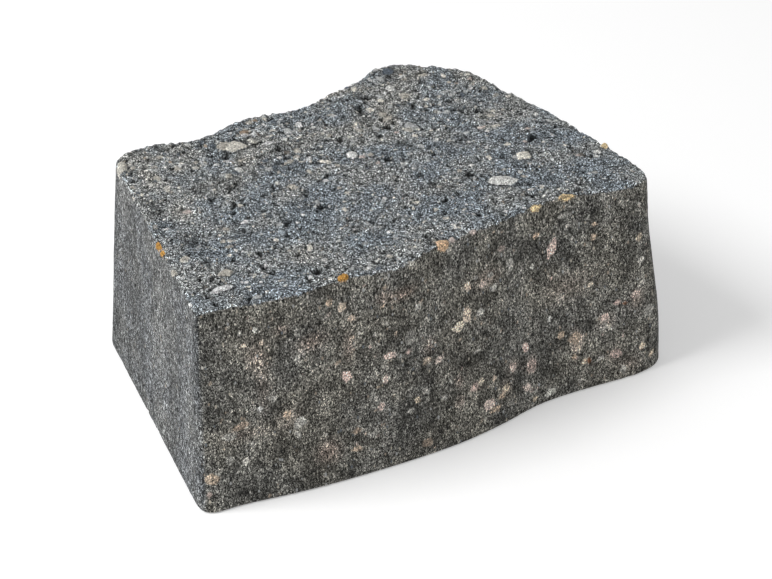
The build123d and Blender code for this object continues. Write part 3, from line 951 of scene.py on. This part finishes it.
def stonesOver(tree, coords, look, grain, under):
    # the stones in what lies under them: a colour and a roughness
    feeds = {"Place": coords, "Rough Rim": look["roughRim"], "Soft Rim": look["softRim"], "Grain": grain}
    stones = useGroup(tree, stoneInlay, feeds)
    colour = blendColour(tree, stones["Mask"], under, stones["Color"])
    return colour, calc(tree, "MULTIPLY_ADD", stones["Mask"], -look["stonePolish"], look["roughness"])


def product(tree, *tones):
    total = tones[0]
    for tone in tones[1:]:
        total = calc(tree, "MULTIPLY", total, tone)
    return total


def noiseTone(tree, coords, scale, detail, amount):
    # soft noise as a tone round 1
    return remap(tree, softNoise(tree, coords, scale, detail), *noiseRange, 1 - amount, 1 + amount)


def newMaterial(name):
    material = bpy.data.materials.new(name)
    material.use_nodes = True
    tree = material.node_tree
    coords = addNode(tree, "ShaderNodeTexCoord").outputs["Object"]
    return material, tree, tree.nodes["Principled BSDF"], coords


drySpecular = 0.2  # dry concrete hardly shines


def finishSurface(tree, shader, look, colour, roughness, level):
    tree.links.new(colour, shader.inputs["Base Color"])
    tree.links.new(roughness, shader.inputs["Roughness"])
    shader.inputs["Specular IOR Level"].default_value = drySpecular
    feeds = {"Height": level, "Strength": look["bump"], "Distance": look["bumpHeight"]}
    bump = addNode(tree, "ShaderNodeBump", {}, feeds)
    tree.links.new(bump.outputs[0], shader.inputs["Normal"])


bedFinish = {
    "cool": rgb(0.233, 0.262, 0.286),
    "warm": rgb(0.304, 0.311, 0.305),
    "nearTint": rgb(0.975, 0.99, 1.0),  # a bluer cement towards the front
    "farTint": rgb(1.03, 1.02, 1.0),
    "patch": 26.0,
    "fineSize": 0.48,
    "fineSpread": 3.3,
    "coarseSize": 2.0,
    "coarseSpread": 0.4,
    "coarseRise": 1.2,  # height of the coarse grains beside the fine ones
    "dotSize": 1.8,
    "dotShare": 0.30,
    "farDotSize": 3.6,
    "farDotShare": 0.12,  # in the far part
    "cloudTint": rgb(0.37, 0.36, 0.33),
    "cloudDepth": 0.5,
    # painted shade in pores, pits and grooves
    "poreShade": 0.95,
    "roughRim": 1.2,
    "softRim": 0.25,
    "roughness": 0.95,
    "stonePolish": 0.15,
    "bump": 0.6,
    "bumpHeight": 0.0005,
}


def openBedMaterial():
    material, tree, shader, coords = newMaterial("openBed")
    look = bedFinish
    far = stored(tree, "farShare").outputs["Fac"]
    hue = blendColour(tree, far, look["nearTint"], look["farTint"])
    tone = blendColour(tree, 1.0, castColour(tree, coords, look), hue, "MULTIPLY")
    clouds = cloudsOver(tree, look, tone)
    fine = grainsOf(tree, coords, look["fineSize"], look["fineSpread"])
    coarse = grainsOf(tree, coords, look["coarseSize"], look["coarseSpread"])
    # painted shade in pores, pits and the grooves round stones
    poreShading = useGroup(tree, poreShade, {"Shade": look["poreShade"]})
    # pale arris: wear and a painted highlight
    wornAndHighlit = useGroup(tree, arrisWearHighlight, {"Place": coords})["Tone"]
    shade = product(tree, fine["Tone"], coarse["Tone"], poreShading["Tone"], clouds["Tone"], wornAndHighlit)
    colour = blendColour(tree, 1.0, clouds["Color"], shade, "MULTIPLY")
    # grit and dots, the near-black ones painted pore shade
    dots = gritAndPoreShadeOf(tree, coords, look["dotSize"], look["dotShare"])
    farGritAndPoreShade = gritAndPoreShadeOf(tree, coords, look["farDotSize"], product(tree, far, look["farDotShare"]))
    # grit and dots, the near-black ones painted pore shade
    for grains in (dots, farGritAndPoreShade):
        mask = product(tree, grains["Mask"], poreShading["Clear"])
        colour = blendColour(tree, mask, colour, grains["Color"])
    colour, roughness = stonesOver(tree, coords, look, fine["Tone"], colour)
    level = calc(tree, "MULTIPLY_ADD", coarse["Height"], look["coarseRise"], fine["Height"])
    finishSurface(tree, shader, look, colour, roughness, level)
    return material


sideFinish = {
    "cool": rgb(0.130, 0.136, 0.141),
    "warm": rgb(0.143, 0.146, 0.144),
    "patch": 30.0,
    "fineSize": 0.42,
    "fineSpread": 2.5,
    "coarseSize": 1.3,
    "coarseSpread": 0.75,
    "frontSpread": -0.45,  # less spread of the coarse grains on the front
    "drawn": (1.0, 1.0, 0.6),  # grains drawn out up the face
    "upright": (1.0, 1.0, 0.14),  # bands and streaks drawn out much further
    "bands": (70.0, 3.0, 0.24),  # noise scale, detail and swing of tone
    "streaks": (600.0, 2.0, 0.26),
    "mottle": (85.0, 2.0, 0.38),
    "mottleElsewhere": 0.25,  # share of the front's mottling on the other faces
    "dotSize": 1.7,
    "dotShare": 0.30,
    "dotsElsewhere": 0.4,
    "dotsOnFront": 0.9,
    # warmer colour of the front, and a painted lift of its tone against the shade it lies in
    "frontWarmthAndLift": rgb(1.30, 1.225, 1.085),
    "cloudTint": rgb(0.33, 0.275, 0.235),
    "cloudDepth": 0.55,
    # painted shade in pores, pits and grooves
    "poreShade": 0.75,
    "speckle": 2.0,  # how strongly the grains show on the stones
    "roughRim": 3.2,
    "softRim": 0.6,
    "roughness": 0.92,
    "stonePolish": 0.12,
    "bump": 0.4,
    "bumpHeight": 0.0003,
}


def mouldSideMaterial():
    material, tree, shader, coords = newMaterial("mouldSide")
    look = sideFinish
    drawn = addNode(tree, "ShaderNodeMapping", {}, {"Vector": coords, "Scale": look["drawn"]}).outputs[0]
    upright = addNode(tree, "ShaderNodeMapping", {}, {"Vector": coords, "Scale": look["upright"]}).outputs[0]
    front = stored(tree, "frontShare").outputs["Fac"]
    tone = castColour(tree, coords, look)
    # the front's tone: warmer, and lifted by painted light
    frontToneLifted = blendColour(tree, 1.0, tone, look["frontWarmthAndLift"], "MULTIPLY")
    clouds = cloudsOver(tree, look, blendColour(tree, front, tone, frontToneLifted))
    fine = grainsOf(tree, drawn, look["fineSize"], look["fineSpread"])
    coarseSpread = calc(tree, "MULTIPLY_ADD", front, look["frontSpread"], look["coarseSpread"])
    coarse = grainsOf(tree, drawn, look["coarseSize"], coarseSpread)
    grains = product(tree, fine["Tone"], coarse["Tone"])
    bands = noiseTone(tree, upright, *look["bands"])
    streaks = noiseTone(tree, upright, *look["streaks"])
    mottle = noiseTone(tree, coords, *look["mottle"])
    mottleShare = calc(tree, "MULTIPLY_ADD", front, 1 - look["mottleElsewhere"], look["mottleElsewhere"])
    mottled = calc(tree, "MULTIPLY_ADD", calc(tree, "SUBTRACT", mottle, 1.0), mottleShare, 1.0)
    # painted shade in pores, pits and the grooves round stones
    poreShading = useGroup(tree, poreShade, {"Shade": look["poreShade"]})
    # pale arris: wear and a painted highlight
    wornAndHighlit = useGroup(tree, arrisWearHighlight, {"Place": coords})["Tone"]
    shade = product(tree, grains, poreShading["Tone"], clouds["Tone"], bands, streaks, mottled, wornAndHighlit)
    matrix = blendColour(tree, 1.0, clouds["Color"], shade, "MULTIPLY")
    # grit and dots, the near-black ones painted pore shade
    dots = gritAndPoreShadeOf(tree, drawn, look["dotSize"], look["dotShare"])
    dotsMore = look["dotsOnFront"] - look["dotsElsewhere"]
    dotsHere = calc(tree, "MULTIPLY_ADD", front, dotsMore, look["dotsElsewhere"])
    withDots = blendColour(tree, product(tree, dots["Mask"], dotsHere), matrix, dots["Color"])
    speckle = calc(tree, "POWER", grains, look["speckle"])
    colour, roughness = stonesOver(tree, coords, look, speckle, withDots)
    level = calc(tree, "ADD", fine["Height"], coarse["Height"])
    finishSurface(tree, shader, look, colour, roughness, level)
    return material


baseFinish = {
    "cool": rgb(0.155, 0.160, 0.160),
    "warm": rgb(0.175, 0.170, 0.160),
    "patch": 50.0,
    "size": 1.2,
    "spread": 0.8,
    "tones": (0.4, 2.0),  # of the darkest and palest grains
    "roughness": (0.95, 0.85),  # of the same
    "bump": 0.4,
    "bumpHeight": 0.0003,
}


def palletBaseMaterial():
    material, tree, shader, coords = newMaterial("palletBase")
    look = baseFinish
    grains = grainsOf(tree, coords, look["size"], look["spread"])
    colour = blendColour(tree, 1.0, castColour(tree, coords, look), grains["Tone"], "MULTIPLY")
    roughness = remap(tree, grains["Tone"], *look["tones"], *look["roughness"])
    finishSurface(tree, shader, look, colour, roughness, grains["Height"])
    return material


for makeMaterial in (openBedMaterial, mouldSideMaterial, palletBaseMaterial):
    mesh.materials.append(makeMaterial())
quadLevel = place[quads[:, 3], 2] + sides["edgeWander"] * lumps("bedEdge")[quads[:, 3]]
finishOf = np.concatenate([
    np.where(quadLevel > blockHeight - sides["edgeDrop"], 0, 1),
    np.zeros(len(bedTris), dtype=np.int64),
    np.full(len(baseTris), 2),
])
mesh.polygons.foreach_set("material_index", finishOf.astype(np.int32))
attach(block, "root")
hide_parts("wall_block")
print("finishes made:", [m.name for m in mesh.materials])

stage = {
    "floorSide": 12.0,
    "floorColour": rgb(0.80, 0.80, 0.80),
    "floorRoughness": 0.9,
    "floorGlow": 0.28,  # lifts the floor to white where the camera sees it
    "ambient": 0.50,
    "keyPlace": (-1.6, 0.2, 1.8),
    "keySide": 0.9,
    "keyPower": 42.0,
}


def whiteToCamera(tree):
    # 1 for rays that show the background, 0 for rays that light the block
    path = addNode(tree, "ShaderNodeLightPath").outputs
    seen = calc(tree, "MAXIMUM", path["Is Camera Ray"], path["Is Glossy Ray"])
    return calc(tree, "MAXIMUM", seen, path["Is Transmission Ray"])


def layFloor():
    side = stage["floorSide"] / 2
    corners = [(-side, -side, 0), (side, -side, 0), (side, side, 0), (-side, side, 0)]
    floorMesh = bpy.data.meshes.new("floor")
    floorMesh.from_pydata(corners, [], [(0, 1, 2, 3)])
    floor = bpy.data.objects.new("floor", floorMesh)
    bpy.context.scene.collection.objects.link(floor)
    material = bpy.data.materials.new("paleFloor")
    material.use_nodes = True
    tree = material.node_tree
    shader = tree.nodes["Principled BSDF"]
    shader.inputs["Base Color"].default_value = stage["floorColour"]
    shader.inputs["Roughness"].default_value = stage["floorRoughness"]
    shader.inputs["Specular IOR Level"].default_value = 0.0
    shader.inputs["Emission Color"].default_value = grey(1)
    glow = calc(tree, "MULTIPLY", whiteToCamera(tree), stage["floorGlow"])
    tree.links.new(glow, shader.inputs["Emission Strength"])
    floorMesh.materials.append(material)


def setLight():
    world = bpy.data.worlds.new("studio")
    bpy.context.scene.world = world
    world.use_nodes = True
    tree = world.node_tree
    background = tree.nodes["Background"]
    background.inputs["Color"].default_value = grey(1)
    strength = remap(tree, whiteToCamera(tree), 0.0, 1.0, stage["ambient"], 1.0)
    tree.links.new(strength, background.inputs["Strength"])
    lamp = bpy.data.lights.new("keyPanel", "AREA")
    lamp.shape = "SQUARE"
    lamp.size = stage["keySide"]
    lamp.energy = stage["keyPower"]
    key = bpy.data.objects.new("keyPanel", lamp)
    key.location = stage["keyPlace"]
    key.rotation_mode = "QUATERNION"
    key.rotation_quaternion = (-Vector(stage["keyPlace"])).to_track_quat("-Z", "Y")
    bpy.context.scene.collection.objects.link(key)


# The photograph is 772 by 579 pixels, with its middle straight ahead of the lens
photoView = {
    "azimuth": -27.84,
    "elevation": 33.46,
    "distance": 1.175,
    "target": (0.00871, -0.00759, 0.0417),
    "imageWidth": 772,
    "focalPixels": 2000,
    "sensor": 36.0,
}


def setCamera():
    azimuth = math.radians(photoView["azimuth"])
    elevation = math.radians(photoView["elevation"])
    flat = math.cos(elevation)
    back = Vector((math.sin(azimuth) * flat, -math.cos(azimuth) * flat, math.sin(elevation)))
    lens = bpy.data.cameras.new("photoView")
    lens.sensor_width = photoView["sensor"]
    lens.lens = photoView["focalPixels"] / photoView["imageWidth"] * photoView["sensor"]
    camera = bpy.data.objects.new("photoView", lens)
    camera.location = Vector(photoView["target"]) + back * photoView["distance"]
    camera.rotation_mode = "QUATERNION"
    camera.rotation_quaternion = (-back).to_track_quat("-Z", "Y")
    bpy.context.scene.collection.objects.link(camera)
    bpy.context.scene.camera = camera


layFloor()
setLight()
setCamera()
bpy.context.scene.view_settings.view_transform = "Standard"
print("floor, light and camera placed")
